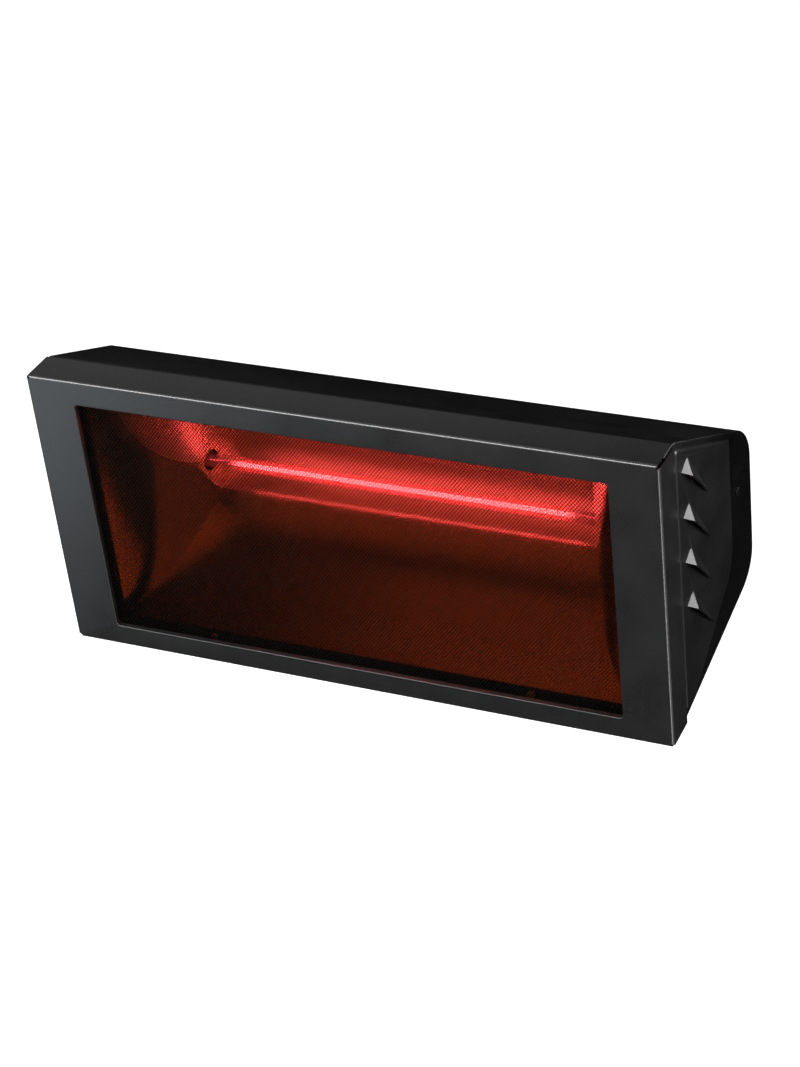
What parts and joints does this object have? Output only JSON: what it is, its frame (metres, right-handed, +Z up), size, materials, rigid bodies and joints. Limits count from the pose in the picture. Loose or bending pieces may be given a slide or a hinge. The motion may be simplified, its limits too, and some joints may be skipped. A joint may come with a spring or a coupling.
{
  "type": "wall-mounted infrared heater",
  "caption": "Wall-mounted infrared heater: a black sheet-metal head with a quartz lamp behind mesh and tinted glass, louvred side panels and a tilting wall bracket.",
  "frame": {"origin": "on the wall's surface, at the middle of the wall bracket's four holes", "axes": "+X to the viewer's right along the lamp, -Y out of the wall towards the front face, +Z up"},
  "size_m": [0.4738, 0.196, 0.2185],
  "materials": {
    "bezel_paint": "satin dark grey powder coat",
    "body_paint": "satin black powder coat",
    "bracket_paint": "satin black powder coat",
    "black_screw": "blackened steel",
    "mesh_wire": "heat-blackened fine wire mesh",
    "gasket_fibre": "dark heat-proof gasket",
    "tinted_glass": "amber-red tinted glass-ceramic",
    "spring_steel": "bright spring steel",
    "zinc_steel": "zinc-plated steel",
    "polished_aluminium": "polished aluminium sheet",
    "bright_aluminium": "mill-finish aluminium sheet",
    "steatite": "unglazed off-white ceramic",
    "quartz_glass": "clear quartz",
    "glowing_tungsten": "glowing tungsten wire",
    "nickel_contact": "nickel-plated contact",
    "brass": "plain brass",
    "lead_brown": "brown silicone insulation",
    "lead_blue": "blue silicone insulation",
    "lead_green_yellow": "green and yellow silicone insulation",
    "gland_plastic": "black polyamide",
    "seal_rubber": "black rubber",
    "knob_plastic": "black phenolic"
  },
  "bodies": {
    "wall_mount": {"wall_bracket": "bracket_paint", "pivot_bolt": "zinc_steel", "pivot_washers": "zinc_steel"},
    "heater": {"bezel_screws": "black_screw", "body_shell": "body_paint", "bracket_screws": "black_screw", "contact_spring_left": "spring_steel", "contact_spring_right": "spring_steel", "earth_stud": "zinc_steel", "front_bezel": "bezel_paint", "gland_body": "gland_plastic", "gland_dome_nut": "gland_plastic", "gland_lock_nut": "gland_plastic", "gland_seal": "seal_rubber", "glass_clip_screws": "zinc_steel", "glass_clips": "spring_steel", "glass_gasket": "gasket_fibre", "glass_pane": "tinted_glass", "heat_shield": "bright_aluminium", "heat_shield_screws": "black_screw", "heat_shield_spacers": "steatite", "hinge_rivets": "black_screw", "holder_terminals": "brass", "lamp_contacts": "nickel_contact", "lamp_end_caps": "steatite", "lamp_filament": "glowing_tungsten", "lamp_tube": "quartz_glass", "lampholder_bracket_left": "zinc_steel", "lampholder_bracket_right": "zinc_steel", "lampholder_left": "steatite", "lampholder_right": "steatite", "lampholder_screws": "zinc_steel", "lead_earth": "lead_green_yellow", "lead_live": "lead_brown", "lead_neutral": "lead_blue", "mesh_guard": "mesh_wire", "rear_hinge_bracket": "bracket_paint", "reflector_end_left": "polished_aluminium", "reflector_end_right": "polished_aluminium", "reflector_screws": "zinc_steel", "reflector_trough": "polished_aluminium", "side_panel_left": "body_paint", "side_panel_right": "body_paint", "side_panel_screws": "black_screw", "terminal_block": "steatite", "terminal_block_screws": "zinc_steel", "terminal_screws": "zinc_steel"},
    "contact_right": {"contact_plunger_right": "brass"},
    "contact_left": {"contact_plunger_left": "brass"},
    "knob": {"clamp_knob": "knob_plastic", "knob_insert": "brass"}
  },
  "joints": [
    {"name": "tilt", "type": "hinge", "parent": "wall_mount", "child": "heater", "pos_m": [0, -0.034, 0.008], "axis": [1, 0, 0], "range_deg": [-10, 45]},
    {"name": "contact_right_press", "type": "slide", "parent": "heater", "child": "contact_right", "axis": [1, 0, 0], "range_m": [0, 0.0025], "stiffness_N_per_m": 800, "springref_m": -0.004, "deforming": ["contact_spring_right"]},
    {"name": "contact_left_press", "type": "slide", "parent": "heater", "child": "contact_left", "axis": [-1, 0, 0], "range_m": [0, 0.0025], "stiffness_N_per_m": 800, "springref_m": -0.004, "deforming": ["contact_spring_left"]},
    {"name": "knob_turn", "type": "hinge", "parent": "wall_mount", "child": "knob", "pos_m": [0.058, -0.034, 0.008], "axis": [1, 0, 0], "continuous": true}
  ]
}
